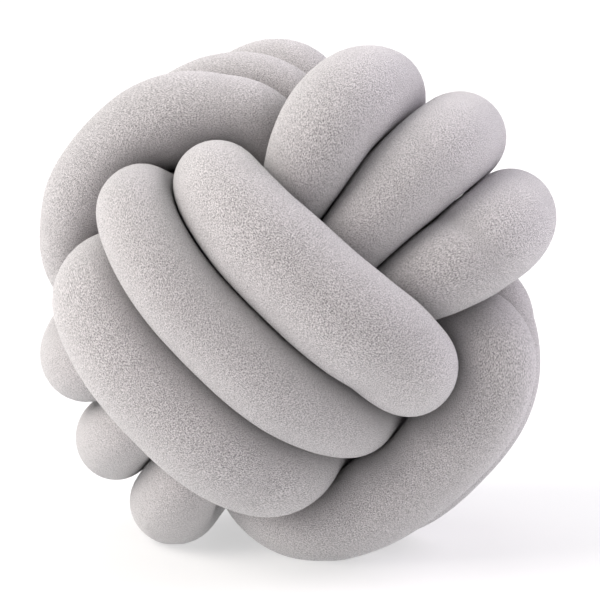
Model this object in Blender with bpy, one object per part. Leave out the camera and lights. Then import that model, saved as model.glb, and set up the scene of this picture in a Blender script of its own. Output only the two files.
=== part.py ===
# Knot cushion: one long plush tube, stuffed firm and tied as a ball. Three sets of three turns
# pass over and under each other, and the two ends of the tube are sewn together inside the ball.
# Metres, +Z up. The cushion stands on z = 0, with the middle of its box over the origin.

import math

import bmesh
import bpy
import numpy as np

# The stuffed tube
tubeRadius = 0.0314         # where nothing presses on it
tubeSides = 16
ringCount = 366             # rings of vertices along the whole tube
pressGap = 0.003            # left between two stretches that press on each other
pressEasing = 6             # rounds of averaging that soften the edge of a pressed flat
flatSpotDepth = 0.0075      # how far the ball's weight presses its lowest turns flat

# The knot: every set is a stack of turns around an oblong loop
turnsPerSet = 3
turnPitch = 0.050           # between neighbouring turns on the outside of the ball
hiddenPitch = 0.040         # between them where they pass under another set
outerReach = 0.118          # ball centre to the tube's middle, middle turn, outside
outerReachSide = 0.106      # the same for the first and third turn
hiddenReach = 0.078         # ball centre to the tube's middle, middle turn, inside
hiddenReachSide = 0.068
loopSquareness = 2.8        # 2 is an ellipse, more is squarer
entryAngle = -45            # degrees round the loop, where a set's first turn starts
exitAngle = 945             # and where its last turn ends
angleStep = 10
handOver = 0.14             # share of a turn, either side of its middle, that climbs to the next
curveSteps = 6              # points between two control points of the smooth path
fineSteps = 3               # and between two rings, where the tube looks for its neighbours

# The way from one set to the next through the middle of the ball, in turn pitches along the
# finished set's outer axis, inner axis and stack axis
linkPath = (
    (-0.62, -0.75, 0.85),
    (-0.70, 0.05, 0.72),
    (-0.85, 0.45, 0.10),
    (-0.90, 0.50, -0.70),
)

# How the outside passes lie by hand, as changes to the even knot, in millimetres.
# shift, slant, bow: across the strands, even, growing along the pass, and curved.
# lift, tip, crown: away from the ball's centre, even, growing along the pass, and at its middle.
# slide, reach: along the strand, the whole pass, and both its ends apart.
# girth: added to the tube's radius.
passColumns = (
    "face", "turn", "shift", "slant", "bow", "lift", "tip", "crown", "slide", "reach", "girth",
)
passTable = (
    ("front", 1, -11.5, 4, 13, 4, 0, 0, -6, 14.5, 1.6),
    ("front", 0, -11, -7, 14, 0, -6, 0, -19, 14, -3),
    ("front", -1, -7, -7, 6, 0, -4, 0, -15.5, 17.5, 1.6),
    ("highRight", -1, 3, -14, 0, 6, 10, 0, 0, 8, 0),
    ("highRight", 0, 0, -9, 3, 5, -8, 0, 0, -6, 0),
    ("highRight", 1, 0, 3, 0, 7, 0, 0, -2, 0, 0),
    ("highLeft", 1, -2, 0, 0, 4, 0, 10, 0, 0, 0),
    ("highLeft", 0, 0, 0, 0, -2, 0, 0, 6, 0, 0),
    ("highLeft", -1, 0, 0, 0, -3, 9, 0, 24, 0, 0),
    ("lowRight", 1, 2, 0, 0, 0, 13, 0, -9, 24, 0),
    ("lowRight", 0, -2, 0, 0, 1, -5, -3, 0, 0, 0),
    ("lowRight", -1, 0, 0, 0, 2, -11, -4, -8, 8, 0),
    ("lowLeft", -1, -21, 0, 0, -11, 0, 0, 0, 0, -4),
    ("lowLeft", 0, -18, 0, 0, 7, 0, 0, 0, 0, -4),
    ("lowLeft", 1, -22, 0, 0, 24, 0, 0, 0, 0, -3),
)
facesOfSets = (("front", "back"), ("lowRight", "highLeft"), ("highRight", "lowLeft"))

# Turns that cross push each other apart until their middles are this far from each other
minSpacing = 0.036
spacingRounds = 120
neighbourReach = 1.3        # in minimum spacings along the tube: nearer points don't push
stiffness = 0.35            # how strongly the tube resists a kink
heldFrom = 0.070            # a pass further out than this starts to hold its place
heldFully = 0.090

# The way the ball lies: its front set falls to the right, and leans back
fallAngle = 44
leanAngle = 15
backAngle = 8


def smoothStep(x):
    x = np.clip(x, 0, 1)
    return x * x * (3 - 2 * x)


def superPower(x):
    return math.copysign(abs(x) ** (2 / loopSquareness), x)


def passChanges():
    changes = {}
    for row in passTable:
        named = dict(zip(passColumns, row))
        place = (named.pop("face"), named.pop("turn"))
        changes[place] = {name: value / 1000 for name, value in named.items()}
    return changes


def turnPoint(setIndex, degrees, changes):
    """One point of a set, along its outer, inner and stack axis, and the tube's radius there."""
    angle = math.radians(degrees)
    out, inward = math.cos(angle), math.sin(angle)
    turn = (degrees + 90) / 360
    climbs = [smoothStep((turn - n + handOver) / (2 * handOver)) for n in range(1, turnsPerSet)]
    level = sum(climbs) - (turnsPerSet - 1) / 2
    side = abs(level)
    outside = out * out
    along = np.array([
        (outerReach + (outerReachSide - outerReach) * side) * superPower(out),
        (hiddenReach + (hiddenReachSide - hiddenReach) * side) * superPower(inward),
        level * (turnPitch * outside + hiddenPitch * (1 - outside)),
    ])
    sign = 1 if out > 0 else -1
    face = facesOfSets[setIndex][0 if out > 0 else 1]
    nominal = math.floor(turn) - (turnsPerSet - 1) // 2
    change = changes.get((face, nominal))
    radius = tubeRadius
    if change:
        weight = smoothStep((abs(out) - 0.20) / 0.45)
        middle = 1 - inward * inward
        along += weight * np.array([
            sign * (change["lift"] + change["tip"] * inward + change["crown"] * middle),
            change["slide"] + change["reach"] * inward,
            change["shift"] + change["slant"] * inward + change["bow"] * inward * inward,
        ])
        radius += weight * change["girth"]
    return along, radius


def knotControls():
    """Control points of the closed tube in the knot's own axes, with the tube's radius there,
    and how firmly each holds its place."""
    changes = passChanges()
    controls = []
    for setIndex in range(3):
        turned = np.roll(np.eye(3), setIndex, axis=1)
        for degrees in range(entryAngle, exitAngle + 1, angleStep):
            along, radius = turnPoint(setIndex, degrees, changes)
            hold = (abs(along[0]) - heldFrom) / (heldFully - heldFrom)
            controls.append([*(along @ turned), radius, min(max(hold, 0), 1)])
        for link in linkPath:
            controls.append([*(turnPitch * np.array(link) @ turned), tubeRadius, 0])
    return np.array(controls)


def smoothLoop(points, steps):
    """A closed Catmull-Rom curve through the points."""
    before = np.roll(points, 1, axis=0)
    after = np.roll(points, -1, axis=0)
    beyond = np.roll(points, -2, axis=0)
    pieces = []
    for step in range(steps):
        t = step / steps
        pieces.append(0.5 * (
            2 * points
            + (after - before) * t
            + (2 * before - 5 * points + 4 * after - beyond) * t ** 2
            + (3 * points - before - 3 * after + beyond) * t ** 3
        ))
    return np.stack(pieces, axis=1).reshape(-1, points.shape[1])


def evenLoop(points, count):
    """The same closed curve with its points the same distance apart."""
    closed = np.vstack([points, points[:1]])
    lengths = np.linalg.norm(np.diff(closed[:, :3], axis=0), axis=1)
    travelled = np.concatenate([[0], np.cumsum(lengths)])
    stations = np.linspace(0, travelled[-1], count, endpoint=False)
    return np.stack([np.interp(stations, travelled, column) for column in closed.T], axis=1)


def loopDistance(first, second, count):
    """Steps between two points of a closed loop, the short way round."""
    apart = np.abs(first - second) % count
    return np.minimum(apart, count - apart)


def spreadTurns(path, hold):
    """Stretches that lie too close push each other apart, but for the passes that hold."""
    count = len(path)
    index = np.arange(count)
    step = np.linalg.norm(path - np.roll(path, 1, axis=0), axis=1).mean()
    strangers = loopDistance(index[:, None], index[None], count) > neighbourReach * minSpacing / step
    free = (1 - hold)[:, None]
    for _ in range(spacingRounds):
        offset = path[:, None] - path[None]
        distance = np.linalg.norm(offset, axis=2) + 1e-9
        push = np.where(strangers & (distance < minSpacing), (minSpacing - distance) / distance, 0)
        pushers = np.maximum((push > 0).sum(axis=1), 1)[:, None]
        move = 0.5 * (push[:, :, None] * offset).sum(axis=1) / pushers
        bend = (np.roll(path, 1, axis=0) + np.roll(path, -1, axis=0)) / 2 - path
        kink = (np.roll(bend, 1, axis=0) + np.roll(bend, -1, axis=0)) / 2 - bend
        path = path + free * (move - stiffness * kink)
    return path


def layDown(path):
    """Turns the knot from its own axes to the way the ball lies, and stands it on the floor."""
    fall, lean, back = (math.radians(a) for a in (fallAngle, leanAngle, backAngle))
    front = np.array([0, -1, 0])
    lowRight = np.array([math.cos(fall), 0, -math.sin(fall)])
    highRight = np.array([math.sin(fall), 0, math.cos(fall)])
    leaned = np.array([
        front * math.cos(lean) - highRight * math.sin(lean),
        lowRight,
        highRight * math.cos(lean) + front * math.sin(lean),
    ])
    tipped = np.array([
        [1, 0, 0],
        [0, math.cos(back), math.sin(back)],
        [0, -math.sin(back), math.cos(back)],
    ])
    path = path @ leaned @ tipped.T
    path[:, 2] += tubeRadius - flatSpotDepth - path[:, 2].min()
    return path


def ringAxes(path):
    """Two axes across the tube at every point, carried along it without a twist."""
    count = len(path)
    tangent = np.roll(path, -1, axis=0) - np.roll(path, 1, axis=0)
    tangent /= np.linalg.norm(tangent, axis=1)[:, None]
    across = np.zeros_like(path)
    carried = np.cross(tangent[0], (0, 0, 1))
    for i in range(count + 1):
        here = tangent[i % count]
        carried = carried - here * (carried @ here)
        carried /= np.linalg.norm(carried)
        if i < count:
            across[i] = carried
    second = np.cross(tangent, across)
    leftOver = math.atan2(carried @ second[0], carried @ across[0])
    angle = -leftOver * np.arange(count)[:, None] / count
    first = across * np.cos(angle) + second * np.sin(angle)
    return first, np.cross(tangent, first)


def pressedReach(path, radii, fine, directions):
    """How far the tube's skin may go from its middle before it meets the next stretch."""
    count, fineCount = len(path), len(fine)
    ratio = fineCount // count
    reach = np.full(directions.shape[:2], 1.0)
    for i in range(count):
        strangers = loopDistance(np.arange(fineCount), i * ratio, fineCount) > ratio + 1
        offset = fine[strangers, :3] - path[i]
        squared = (offset ** 2).sum(axis=1)
        share = 0.5 + (radii[i] ** 2 - fine[strangers, 3] ** 2) / squared / 2
        cosine = np.clip(directions[i] @ offset.T / np.sqrt(squared), 0.01, 1)
        meeting = share * np.sqrt(squared) / cosine - pressGap / 2 / np.maximum(cosine, 0.2)
        reach[i] = meeting.min(axis=1)
    return reach


def floorReach(path, directions):
    down = np.minimum(directions[:, :, 2], -1e-3)
    return path[:, 2][:, None] / -down


def tubeRings(path, radii):
    """The skin's rings: a round tube, pressed flat where it meets itself or the floor."""
    fine = smoothLoop(np.column_stack([path, radii]), fineSteps)
    first, second = ringAxes(path)
    turns = np.arange(tubeSides) * 2 * math.pi / tubeSides
    directions = (
        np.cos(turns)[None, :, None] * first[:, None]
        + np.sin(turns)[None, :, None] * second[:, None]
    )
    limit = pressedReach(path, radii, fine, directions)
    radius = np.minimum(limit, radii[:, None])
    for _ in range(pressEasing):
        around = np.roll(radius, 1, axis=1) + np.roll(radius, -1, axis=1)
        lengthwise = np.roll(radius, 1, axis=0) + np.roll(radius, -1, axis=0)
        radius = np.minimum(limit, 0.4 * radius + 0.15 * around + 0.15 * lengthwise)
    radius = np.minimum(radius, floorReach(path, directions))
    return path[:, None] + radius[:, :, None] * directions


def plushMaterial():
    material = bpy.data.materials.new("warm grey plush")
    material.use_nodes = True
    shader = material.node_tree.nodes["Principled BSDF"]
    shader.inputs["Base Color"].default_value = (0.56, 0.52, 0.53, 1)
    shader.inputs["Roughness"].default_value = 0.9
    shader.inputs["Metallic"].default_value = 0.0
    return material


def knotTube():
    loop = evenLoop(smoothLoop(knotControls(), curveSteps), ringCount)
    path = layDown(spreadTurns(loop[:, :3], np.clip(loop[:, 4], 0, 1)))
    rings = tubeRings(path, loop[:, 3])
    lowest, highest = rings.min(axis=(0, 1)), rings.max(axis=(0, 1))
    rings[:, :, :2] -= (lowest + highest)[:2] / 2

    bm = bmesh.new()
    corners = [[bm.verts.new(corner) for corner in ring] for ring in rings]
    for i in range(ringCount):
        here, following = corners[i], corners[(i + 1) % ringCount]
        for j in range(tubeSides):
            k = (j + 1) % tubeSides
            bm.faces.new((here[j], here[k], following[k], following[j]))
    bmesh.ops.recalc_face_normals(bm, faces=bm.faces)
    bmesh.ops.triangulate(bm, faces=bm.faces)
    mesh = bpy.data.meshes.new("knot_tube")
    bm.to_mesh(mesh)
    bm.free()
    mesh.shade_smooth()
    mesh.materials.append(plushMaterial())
    tube = bpy.data.objects.new("knot_tube", mesh)
    bpy.context.scene.collection.objects.link(tube)
    return tube


for leftover in list(bpy.data.objects):
    bpy.data.objects.remove(leftover)
knotTube()
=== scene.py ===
import math

import bmesh
import bpy
import numpy as np
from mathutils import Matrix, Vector, noise


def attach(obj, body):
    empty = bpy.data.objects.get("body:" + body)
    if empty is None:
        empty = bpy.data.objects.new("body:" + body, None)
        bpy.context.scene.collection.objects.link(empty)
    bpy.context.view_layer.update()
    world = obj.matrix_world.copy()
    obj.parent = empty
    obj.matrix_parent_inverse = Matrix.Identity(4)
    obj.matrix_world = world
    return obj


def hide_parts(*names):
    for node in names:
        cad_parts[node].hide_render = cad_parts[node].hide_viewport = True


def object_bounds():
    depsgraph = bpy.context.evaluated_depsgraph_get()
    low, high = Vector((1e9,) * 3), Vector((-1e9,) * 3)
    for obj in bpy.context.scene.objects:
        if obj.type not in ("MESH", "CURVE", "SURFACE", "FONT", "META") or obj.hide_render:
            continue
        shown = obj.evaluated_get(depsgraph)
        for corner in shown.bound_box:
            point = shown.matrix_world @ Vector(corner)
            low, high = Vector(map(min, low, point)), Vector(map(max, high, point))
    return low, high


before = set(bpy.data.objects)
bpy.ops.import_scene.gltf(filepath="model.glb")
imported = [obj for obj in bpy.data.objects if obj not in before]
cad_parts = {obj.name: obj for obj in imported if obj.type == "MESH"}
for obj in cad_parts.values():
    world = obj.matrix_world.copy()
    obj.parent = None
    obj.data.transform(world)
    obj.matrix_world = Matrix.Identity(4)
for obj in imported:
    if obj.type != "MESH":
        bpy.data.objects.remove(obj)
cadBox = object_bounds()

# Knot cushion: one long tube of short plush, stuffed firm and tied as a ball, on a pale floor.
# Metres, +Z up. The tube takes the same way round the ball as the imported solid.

# Three sets of three turns, each set a stack of turns round an oblong loop.
knot = {
    "turns": 3,
    "pitch": 0.050,  # between neighbouring turns on the outside of the ball
    "hiddenPitch": 0.040,  # and where they pass under another set
    "outerReach": 0.118,  # ball centre to the middle of the tube, outside, middle turn
    "outerReachSide": 0.106,  # first and third turn
    "hiddenReach": 0.078,  # and inside, under another set
    "hiddenReachSide": 0.068,
    "squareness": 2.8,  # of the loop: 2 is an ellipse, more is squarer
    "entryAngle": -45,  # degrees round the loop, where the first turn starts
    "exitAngle": 945,  # and where the last one ends
    "angleStep": 10,
    "handOver": 0.14,  # share of a turn, either side, that climbs to the next
    "curveSteps": 6,  # points of the curve for each control point
    "points": 366,  # along the whole tube, while its turns settle
    "spacing": 0.036,  # crossing turns push each other this far apart
    "spacingRounds": 120,
    "neighbourReach": 1.3,  # nearer than this along the tube, in spacings, it doesn't push itself
    "pushShare": 0.5,  # each of two stretches gives half
    "stiffness": 0.35,
    "heldFrom": 0.070,  # a pass further out than this starts to hold its place
    "heldFully": 0.090,
    "handFrom": 0.20,  # share of the way out where a pass starts to lie as handLaid says
    "handSpan": 0.45,  # and how much further it takes to do so fully
    "fallAngle": 44,  # how the ball lies, in degrees: the strands in front fall to the right
    "leanAngle": 15,
    "backAngle": 8,
    # from one set to the next through the middle, in pitches
    "link": (
        (-0.62, -0.75, 0.85),
        (-0.70, 0.05, 0.72),
        (-0.85, 0.45, 0.10),
        (-0.90, 0.50, -0.70),
    ),
    "faces": (("front", "back"), ("lowRight", "highLeft"), ("highRight", "lowLeft")),
}

# How each outside pass lies, in millimetres off the even knot.
# shift, slant, bow: across the strands. lift, tip, crown: away from the ball's centre.
# slide, reach: along the strand. girth: added to the tube's radius.
handLaid = {
    "columns": ("shift", "slant", "bow", "lift", "tip", "crown", "slide", "reach", "girth"),
    ("front", 1): (-11.5, 4, 13, 4, 0, 0, -6, 14.5, 1.6),
    ("front", 0): (-11, -7, 14, 0, -6, 0, -19, 14, -3),
    ("front", -1): (-7, -7, 6, 0, -4, 0, -15.5, 17.5, 1.6),
    ("highRight", -1): (3, -14, 0, 6, 10, 0, 0, 8, 0),
    ("highRight", 0): (0, -9, 3, 5, -8, 0, 0, -6, 0),
    ("highRight", 1): (0, 3, 0, 7, 0, 0, -2, 0, 0),
    ("highLeft", 1): (-2, 0, 0, 4, 0, 10, 0, 0, 0),
    ("highLeft", 0): (0, 0, 0, -2, 0, 0, 6, 0, 0),
    ("highLeft", -1): (0, 0, 0, -3, 9, 0, 24, 0, 0),
    ("lowRight", 1): (2, 0, 0, 0, 13, 0, -9, 24, 0),
    ("lowRight", 0): (-2, 0, 0, 1, -5, -3, 0, 0, 0),
    ("lowRight", -1): (0, 0, 0, 2, -11, -4, -8, 8, 0),
    ("lowLeft", -1): (-21, 0, 0, -11, 0, 0, 0, 0, -4),
    ("lowLeft", 0): (-18, 0, 0, 7, 0, 0, 0, 0, -4),
    ("lowLeft", 1): (-22, 0, 0, 24, 0, 0, 0, 0, -3),
}


def smoothStep(x):
    x = np.clip(x, 0, 1)
    return x * x * (3 - 2 * x)


# A sine or cosine drawn out towards the corners of a squarer loop
def squared(x):
    return math.copysign(abs(x) ** (2 / knot["squareness"]), x)


# A point of a set along its outer, inner and stack axis, and the tube's radius there
def turnPoint(setIndex, degrees):
    angle = math.radians(degrees)
    out, inward = math.cos(angle), math.sin(angle)
    turn = (degrees + 90) / 360  # counted from where the tube climbs to the first one
    share = knot["handOver"]
    climbs = [smoothStep((turn - n + share) / (2 * share)) for n in range(1, knot["turns"])]
    level = sum(climbs) - (knot["turns"] - 1) / 2
    side = abs(level)
    outside = out * out
    outer = knot["outerReach"] + (knot["outerReachSide"] - knot["outerReach"]) * side
    hidden = knot["hiddenReach"] + (knot["hiddenReachSide"] - knot["hiddenReach"]) * side
    place = np.array([
        outer * squared(out),
        hidden * squared(inward),
        level * (knot["pitch"] * outside + knot["hiddenPitch"] * (1 - outside)),
    ])
    radius = tube["radius"]
    sign = 1 if out > 0 else -1
    face = knot["faces"][setIndex][0 if out > 0 else 1]
    hand = handLaid.get((face, math.floor(turn) - (knot["turns"] - 1) // 2))
    if hand:
        lie = {name: value / 1000 for name, value in zip(handLaid["columns"], hand)}
        weight = smoothStep((abs(out) - knot["handFrom"]) / knot["handSpan"])
        middle = 1 - inward * inward
        place += weight * np.array([
            sign * (lie["lift"] + lie["tip"] * inward + lie["crown"] * middle),
            lie["slide"] + lie["reach"] * inward,
            lie["shift"] + lie["slant"] * inward + lie["bow"] * inward * inward,
        ])
        radius += weight * lie["girth"]
    return place, radius


# Control points of the closed tube, its radius there, and how firmly each holds its place
def knotControls():
    controls = []
    for setIndex in range(len(knot["faces"])):
        turned = np.roll(np.eye(3), setIndex, axis=1)
        for degrees in range(knot["entryAngle"], knot["exitAngle"] + 1, knot["angleStep"]):
            place, radius = turnPoint(setIndex, degrees)
            hold = (abs(place[0]) - knot["heldFrom"]) / (knot["heldFully"] - knot["heldFrom"])
            controls.append([*(place @ turned), radius, min(max(hold, 0), 1)])
        for link in knot["link"]:
            controls.append([*(knot["pitch"] * np.array(link) @ turned), tube["radius"], 0])
    return np.array(controls)


# A closed Catmull-Rom curve through the points
def smoothLoop(points, steps):
    before = np.roll(points, 1, axis=0)
    after = np.roll(points, -1, axis=0)
    beyond = np.roll(points, -2, axis=0)
    pieces = []
    for step in range(steps):
        t = step / steps
        pieces.append(0.5 * (
            2 * points
            + (after - before) * t
            + (2 * before - 5 * points + 4 * after - beyond) * t ** 2
            + (3 * points - before - 3 * after + beyond) * t ** 3
        ))
    return np.stack(pieces, axis=1).reshape(-1, points.shape[1])


# The way along the closed curve to each point, and back to the first
def travelled(points):
    closed = np.vstack([points, points[:1]])
    return np.concatenate([[0], np.cumsum(np.linalg.norm(np.diff(closed, axis=0), axis=1))])


# The same closed curve with its points the same distance apart
def evenLoop(points, count):
    lengths = travelled(points[:, :3])
    stations = np.linspace(0, lengths[-1], count, endpoint=False)
    closed = np.vstack([points, points[:1]])
    return np.stack([np.interp(stations, lengths, column) for column in closed.T], axis=1)


# How many points apart two places on the loop are, the shorter way round
def loopDistance(first, second, count):
    apart = np.abs(first - second) % count
    return np.minimum(apart, count - apart)


# Stretches that lie too close push each other apart, but for the passes that hold
def spreadTurns(path, hold):
    count = len(path)
    index = np.arange(count)
    spacing = knot["spacing"]
    step = np.linalg.norm(path - np.roll(path, 1, axis=0), axis=1).mean()
    apart = loopDistance(index[:, None], index[None], count)
    strangers = apart > knot["neighbourReach"] * spacing / step
    free = (1 - hold)[:, None]
    for _ in range(knot["spacingRounds"]):
        offset = path[:, None] - path[None]
        distance = np.linalg.norm(offset, axis=2) + 1e-9  # a point is at no distance from itself
        push = np.where(strangers & (distance < spacing), (spacing - distance) / distance, 0)
        pushers = np.maximum((push > 0).sum(axis=1), 1)[:, None]
        move = knot["pushShare"] * (push[:, :, None] * offset).sum(axis=1) / pushers
        bend = (np.roll(path, 1, axis=0) + np.roll(path, -1, axis=0)) / 2 - path
        kink = (np.roll(bend, 1, axis=0) + np.roll(bend, -1, axis=0)) / 2 - bend
        path = path + free * (move - knot["stiffness"] * kink)
    return path


# Turns the knot to the way the ball lies, and stands it on the floor
def layDown(path):
    fall, lean, back = (math.radians(knot[a]) for a in ("fallAngle", "leanAngle", "backAngle"))
    front = np.array([0, -1, 0])
    lowRight = np.array([math.cos(fall), 0, -math.sin(fall)])
    highRight = np.array([math.sin(fall), 0, math.cos(fall)])
    leaned = np.array([
        front * math.cos(lean) - highRight * math.sin(lean),
        lowRight,
        highRight * math.cos(lean) + front * math.sin(lean),
    ])
    tipped = np.array([
        [1, 0, 0],
        [0, math.cos(back), math.sin(back)],
        [0, -math.sin(back), math.cos(back)],
    ])
    path = path @ leaned @ tipped.T
    path[:, 2] += tube["radius"] - tube["flatSpot"] - path[:, 2].min()
    return path


# A pass that dips towards the ball's middle is drawn straight there, so the plush has no fold
def drawStraight(path):
    middle = (path.min(axis=0) + path.max(axis=0)) / 2
    for _ in range(tube["straightRounds"]):
        bend = (np.roll(path, 1, axis=0) + np.roll(path, -1, axis=0)) / 2 - path
        outward = path - middle
        distance = np.linalg.norm(outward, axis=1)
        dips = (bend * outward).sum(axis=1) / distance > tube["straightOver"]
        path = path + (dips & (distance > tube["straightFrom"]))[:, None] * bend
    return path


# The plush tube: stuffed firm, so it is round but where it presses on itself or on the floor.
tube = {
    "name": "plush_tube",
    "radius": 0.0314,  # where nothing presses on it
    "flatSpot": 0.0075,  # how far the lowest turns are pressed flat
    "straightFrom": 0.095,  # only as far out from the ball's middle as this
    "straightOver": 0.001,  # and where it dips by more than this
    "straightRounds": 4,
    "fineSteps": 5,  # rings for each point of the settled way
    "sides": 48,
    "pressGap": 0.0010,  # between two stretches that press on each other
    "ownReach": 0.018,  # nearer than this along the tube, it doesn't press on itself
    "pressSearch": 4,  # stretches further off than this many radii don't press
    "pressAslant": 0.2,  # the gap isn't widened more than for a ray as slanting as this
    "pressEasing": 100,  # rounds of averaging that round off the edge of a pressed flat
    "easingShare": 0.15,
    "paintedShadeReach": 0.006,  # how far from the next turn the painted shade in the grooves still reaches
    "lumpHeight": 0.0007,  # the fibre filling is never quite even
    "lumpSize": 0.045,
    "lumpSeed": 7.3,
    "fill": 0.95,  # stuffed nearly full
}


# Two axes across the tube at every point, carried along it without a twist
def ringAxes(path):
    count = len(path)
    tangent = np.roll(path, -1, axis=0) - np.roll(path, 1, axis=0)
    tangent /= np.linalg.norm(tangent, axis=1)[:, None]
    across = np.zeros_like(path)
    carried = np.cross(tangent[0], (0, 0, 1))
    for i in range(count + 1):
        here = tangent[i % count]
        carried = carried - here * (carried @ here)
        carried /= np.linalg.norm(carried)
        if i < count:
            across[i] = carried
    second = np.cross(tangent, across)
    leftOver = math.atan2(carried @ second[0], carried @ across[0])
    angle = -leftOver * np.arange(count)[:, None] / count
    first = across * np.cos(angle) + second * np.sin(angle)
    return first, np.cross(tangent, first)


# How far the skin may go from the tube's middle before it meets the next stretch
def pressedReach(path, radii, directions):
    count = len(path)
    step = travelled(path)[-1] / count
    reach = np.full(directions.shape[:2], 1.0)  # a metre is further than anything presses
    for i in range(count):
        offset = path - path[i]
        squares = (offset ** 2).sum(axis=1)
        apart = loopDistance(np.arange(count), i, count) * step
        search = (tube["pressSearch"] * tube["radius"]) ** 2
        near = (apart > tube["ownReach"]) & (squares < search)
        offset, squares = offset[near], squares[near]
        # a thicker stretch takes more of the space between the two
        share = 0.5 + (radii[i] ** 2 - radii[near] ** 2) / squares / 2
        cosine = np.clip(directions[i] @ offset.T / np.sqrt(squares), 0.01, 1)
        gap = tube["pressGap"] / 2 / np.maximum(cosine, tube["pressAslant"])
        meeting = share * np.sqrt(squares) / cosine - gap
        reach[i] = meeting.min(axis=1)
    return reach


# The lumps of the filling, at every place of the round skin
def fillingLumps(skin):
    places = (skin / tube["lumpSize"]).reshape(-1, 3)
    shift = Vector((tube["lumpSeed"],) * 3)
    lumps = [noise.noise(Vector(place) + shift) for place in places]
    return tube["lumpHeight"] * np.array(lumps).reshape(skin.shape[:2])


# The skin's rings, and how deep each place of it lies between the turns: 1 where it meets the
# next turn. The plush colour paints shade in the grooves with it.
def tubeSkin(path, radii):
    first, second = ringAxes(path)
    turns = np.arange(tube["sides"]) * 2 * math.pi / tube["sides"]
    directions = (
        np.cos(turns)[None, :, None] * first[:, None]
        + np.sin(turns)[None, :, None] * second[:, None]
    )
    limit = pressedReach(path, radii, directions)
    full = radii[:, None] + fillingLumps(path[:, None] + radii[:, None, None] * directions)
    radius = np.minimum(limit, full)
    share = tube["easingShare"]
    for _ in range(tube["pressEasing"]):
        around = np.roll(radius, 1, axis=1) + np.roll(radius, -1, axis=1)
        lengthwise = np.roll(radius, 1, axis=0) + np.roll(radius, -1, axis=0)
        radius = np.minimum(limit, (1 - 4 * share) * radius + share * (around + lengthwise))
    # a ray that points down stops on the floor
    floor = path[:, 2][:, None] / -np.minimum(directions[:, :, 2], -1e-3)
    radius = np.minimum(radius, floor)
    # painted shade mask: 1 where the skin meets the next turn, fading within a few millimetres of
    # it
    depth = np.exp((radius - limit) / tube["paintedShadeReach"])
    return path[:, None] + radius[:, :, None] * directions, depth


# A flat strip of cloth is rolled up round the filling, and its edges are joined
def plushTube(material):
    loop = evenLoop(smoothLoop(knotControls(), knot["curveSteps"]), knot["points"])
    path = layDown(spreadTurns(loop[:, :3], np.clip(loop[:, 4], 0, 1)))
    fine = smoothLoop(np.column_stack([drawStraight(path), loop[:, 3]]), tube["fineSteps"])
    skin, depth = tubeSkin(fine[:, :3], fine[:, 3])
    lowest, highest = skin.min(axis=(0, 1)), skin.max(axis=(0, 1))
    cadMiddle = (cadBox[0] + cadBox[1]) / 2
    skin[:, :, 0] += cadMiddle.x - (lowest[0] + highest[0]) / 2
    skin[:, :, 1] += cadMiddle.y - (lowest[1] + highest[1]) / 2
    rings, sides = skin.shape[:2]
    print("tube skin:", rings, "rings of", sides)

    bm = bmesh.new()
    uvMap = bm.loops.layers.uv.new("nap")
    # the mask of the painted shade in the grooves, kept on each vertex
    paintedShadeMask = bm.verts.layers.float.new("paintedShadeMask")
    bmesh.ops.create_grid(bm, x_segments=rings, y_segments=sides, size=1, calc_uvs=True)
    for vert in bm.verts:
        ring = round((vert.co.x + 1) / 2 * rings) % rings
        side = round((vert.co.y + 1) / 2 * sides) % sides
        vert.co = skin[ring, side]
        vert[paintedShadeMask] = depth[ring, side]
    edges = [vert for vert in bm.verts if vert.is_boundary]
    bmesh.ops.remove_doubles(bm, verts=edges, dist=1e-6)
    bmesh.ops.recalc_face_normals(bm, faces=bm.faces)
    # the map in metres, along and around the tube
    length = travelled(fine[:, :3])[-1]
    girth = 2 * math.pi * tube["radius"]
    for face in bm.faces:
        for corner in face.loops:
            corner[uvMap].uv = (corner[uvMap].uv.x * length, corner[uvMap].uv.y * girth)
    mesh = bpy.data.meshes.new(tube["name"])
    bm.to_mesh(mesh)
    bm.free()
    mesh.shade_smooth()
    mesh.materials.append(material)
    piece = bpy.data.objects.new(tube["name"], mesh)
    bpy.context.scene.collection.objects.link(piece)
    return piece


# An sRGB hex colour as Blender's linear one
def linear(hexColour):
    parts = [int(hexColour[i:i + 2], 16) / 255 for i in (0, 2, 4)]
    return [c / 12.92 if c <= 0.04045 else ((c + 0.055) / 1.055) ** 2.4 for c in parts] + [1]


# A node with its settings, the values of its sockets, and what is linked into them
def addNode(tree, kind, settings=None, values=None, links=None):
    node = tree.nodes.new(kind)
    for name, value in (settings or {}).items():
        setattr(node, name, value)
    for name, value in (values or {}).items():
        node.inputs[name].default_value = value
    for name, output in (links or {}).items():
        tree.links.new(output, node.inputs[name])
    return node


# Brushed short plush, a knitted polyester pile: matt, with a pale bloom where the pile is seen
# from the side, and a fine broken nap.
plush = {
    "name": "brushed short plush",
    "pile": "d7d0d2",  # the tips of the tufts, a warm light grey
    "pileShade": "281420",  # down between the tufts
    "paintedGrooveShade": "34202a",  # painted shade, dark and violet, down in the grooves between turns
    # how far the painted shade darkens the pile where the turns meet
    "paintedShadeShare": 0.75,
    "bloom": "ffffff",
    "roughness": 0.9,
    "ior": 1.46,
    "sheen": 1.0,
    "sheenRoughness": 0.75,
    "tuftSize": 0.00044,  # a clump of pile; single fibres are far too thin to show
    "tuftStretch": 1.5,  # along the tube
    "tuftTwist": 0.6,
    "tuftDetail": 1,
    "tuftBreak": 0.5,
    "gapBelow": 0.4,  # of the noise: less than this is a gap, more than the next a tip
    "tipAbove": 0.6,
    "tuftHeight": 0.0010,
    "tuftBump": 1.0,
    "strokeSize": 0.030,  # patches brushed one way or the other
    "strokeDetail": 3,
    "strokeBreak": 0.55,
    "strokeShare": 0.16,  # how much lighter a patch brushed up is
}


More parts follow.
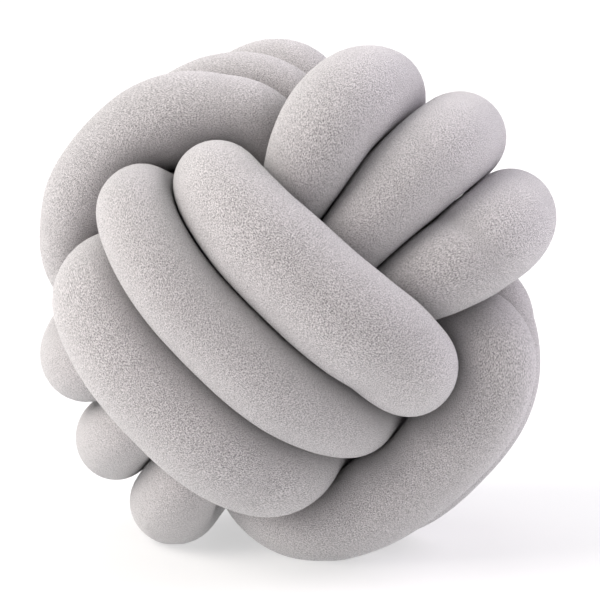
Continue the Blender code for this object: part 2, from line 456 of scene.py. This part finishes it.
def brushedPlush():
    material = bpy.data.materials.new(plush["name"])
    material.use_nodes = True
    tree = material.node_tree
    shader = tree.nodes["Principled BSDF"]
    shader.inputs["Roughness"].default_value = plush["roughness"]
    shader.inputs["IOR"].default_value = plush["ior"]
    shader.inputs["Sheen Weight"].default_value = plush["sheen"]
    shader.inputs["Sheen Roughness"].default_value = plush["sheenRoughness"]
    shader.inputs["Sheen Tint"].default_value = linear(plush["bloom"])

    place = addNode(tree, "ShaderNodeTexCoord")
    # the nap runs along the tube, so its tufts are a little longer that way
    lay = addNode(
        tree, "ShaderNodeMapping",
        values={"Scale": (1 / plush["tuftStretch"], 1, 1)},
        links={"Vector": place.outputs["UV"]},
    )
    tufts = addNode(
        tree, "ShaderNodeTexNoise",
        values={
            "Scale": 1 / plush["tuftSize"],
            "Detail": plush["tuftDetail"],
            "Roughness": plush["tuftBreak"],
            "Distortion": plush["tuftTwist"],
        },
        links={"Vector": lay.outputs["Vector"]},
    )
    strokes = addNode(
        tree, "ShaderNodeTexNoise",
        values={
            "Scale": 1 / plush["strokeSize"],
            "Detail": plush["strokeDetail"],
            "Roughness": plush["strokeBreak"],
        },
        links={"Vector": place.outputs["Object"]},
    )
    depth = addNode(
        tree, "ShaderNodeMapRange",
        values={"From Min": plush["gapBelow"], "From Max": plush["tipAbove"]},
        links={"Value": tufts.outputs["Fac"]},
    )
    brushed = addNode(
        tree, "ShaderNodeMath",
        settings={"operation": "MULTIPLY_ADD"},
        links={0: strokes.outputs["Fac"], 2: depth.outputs["Result"]},
    )
    brushed.inputs[1].default_value = plush["strokeShare"]
    colour = addNode(
        tree, "ShaderNodeMix",
        settings={"data_type": "RGBA"},
        links={"Factor": brushed.outputs["Value"]},
    )
    colour.inputs["A"].default_value = linear(plush["pileShade"])
    colour.inputs["B"].default_value = linear(plush["pile"])
    # painted shade: down in the grooves between turns the pile colour turns dark and violet,
    # standing in for the shade there
    paintedShadeMask = addNode(tree, "ShaderNodeAttribute", settings={"attribute_name": "paintedShadeMask"})
    paintedShadeFactor = addNode(
        tree, "ShaderNodeMath",
        settings={"operation": "MULTIPLY"},
        links={0: paintedShadeMask.outputs["Fac"]},
    )
    paintedShadeFactor.inputs[1].default_value = plush["paintedShadeShare"]
    shaded = addNode(
        tree, "ShaderNodeMix",
        settings={"data_type": "RGBA"},
        links={"Factor": paintedShadeFactor.outputs["Value"]},
    )
    tree.links.new(colour.outputs["Result"], shaded.inputs["A"])
    shaded.inputs["B"].default_value = linear(plush["paintedGrooveShade"])
    tree.links.new(shaded.outputs["Result"], shader.inputs["Base Color"])
    nap = addNode(
        tree, "ShaderNodeBump",
        values={"Strength": plush["tuftBump"], "Distance": plush["tuftHeight"]},
        links={"Height": tufts.outputs["Fac"]},
    )
    tree.links.new(nap.outputs["Normal"], shader.inputs["Normal"])
    return material


# A pale studio: white table, large soft lights at the left, at the right from a little behind
# and from above, and light from all round. The table is lit so brightly that only the shadow
# on it drops below white.
studio = {
    "floor": "b4b4b4",
    "floorGlow": 0.5,  # of the table's own, lit from below
    "floorRoughness": 0.9,
    "floorSize": 200,  # so wide that its far edge is at the horizon
    "surround": "ffffff",
    "surroundStrength": 0.52,
    "backdropStrength": 1.1,
    "leftFrom": (-1.4, -0.4, 1.15),
    "leftStrength": 3.0,
    "leftColour": "fff9f4",  # the left of the picture is faintly warm, the right faintly violet
    "rightFrom": (1.3, 0.6, 0.85),
    "rightStrength": 2.0,
    "rightColour": "faeeff",
    "topFrom": (-0.3, 0.4, 2.0),
    "topStrength": 0.6,
    "topColour": "fafffd",
    "softness": 45,  # degrees across, as wide as a large softbox looks
    "aim": (0.0008, -0.0005, 0.1374),  # the camera looks here
    "distance": 1.2,
    "elevation": 8,  # degrees above level
    "pixelsPerMetre": 1753,  # at the ball's centre
    "imageWidth": 600,
    "sensorWidth": 36,
}


# A distant light as wide as a softbox
def softLight(side):
    name = side + " light"
    place = studio[side + "From"]
    light = bpy.data.lights.new(name, "SUN")
    light.angle = math.radians(studio["softness"])
    light.energy = studio[side + "Strength"]
    light.color = linear(studio[side + "Colour"])[:3]
    lamp = bpy.data.objects.new(name, light)
    lamp.location = place
    lamp.rotation_euler = Vector(place).to_track_quat("Z", "Y").to_euler()
    bpy.context.scene.collection.objects.link(lamp)


def paleStudio():
    bm = bmesh.new()
    bmesh.ops.create_grid(bm, x_segments=1, y_segments=1, size=studio["floorSize"] / 2)
    mesh = bpy.data.meshes.new("studio_floor")
    bm.to_mesh(mesh)
    bm.free()
    paint = bpy.data.materials.new("matt white paper")
    paint.use_nodes = True
    shader = paint.node_tree.nodes["Principled BSDF"]
    shader.inputs["Base Color"].default_value = linear(studio["floor"])
    shader.inputs["Roughness"].default_value = studio["floorRoughness"]
    shader.inputs["Emission Color"].default_value = linear(studio["surround"])
    shader.inputs["Emission Strength"].default_value = studio["floorGlow"]
    mesh.materials.append(paint)
    floor = bpy.data.objects.new("studio_floor", mesh)
    bpy.context.scene.collection.objects.link(floor)

    world = bpy.data.worlds.new("soft white surround")
    world.use_nodes = True
    backdrop = world.node_tree.nodes["Background"]
    backdrop.inputs["Color"].default_value = linear(studio["surround"])
    # the paper behind is lit on its own, brighter than the room
    seen = addNode(world.node_tree, "ShaderNodeLightPath")
    strength = addNode(
        world.node_tree, "ShaderNodeMapRange",
        values={"To Min": studio["surroundStrength"], "To Max": studio["backdropStrength"]},
        links={"Value": seen.outputs["Is Camera Ray"]},
    )
    world.node_tree.links.new(strength.outputs["Result"], backdrop.inputs["Strength"])
    bpy.context.scene.world = world
    for side in ("left", "right", "top"):
        softLight(side)


def photoCamera():
    data = bpy.data.cameras.new("photo camera")
    data.sensor_width = studio["sensorWidth"]
    focalPixels = studio["pixelsPerMetre"] * studio["distance"]
    data.lens = focalPixels * studio["sensorWidth"] / studio["imageWidth"]
    camera = bpy.data.objects.new("photo camera", data)
    tilt = math.radians(studio["elevation"])
    back = Vector((0, -math.cos(tilt), math.sin(tilt)))
    camera.location = Vector(studio["aim"]) + back * studio["distance"]
    camera.rotation_euler = (-back).to_track_quat("-Z", "Y").to_euler()
    bpy.context.scene.collection.objects.link(camera)
    bpy.context.scene.camera = camera


print("cloth: brushed plush")
piece = plushTube(brushedPlush())
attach(piece, "root")
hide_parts("knot_tube")

print("studio, light and camera")
paleStudio()
photoCamera()
bpy.context.scene.view_settings.view_transform = "Standard"
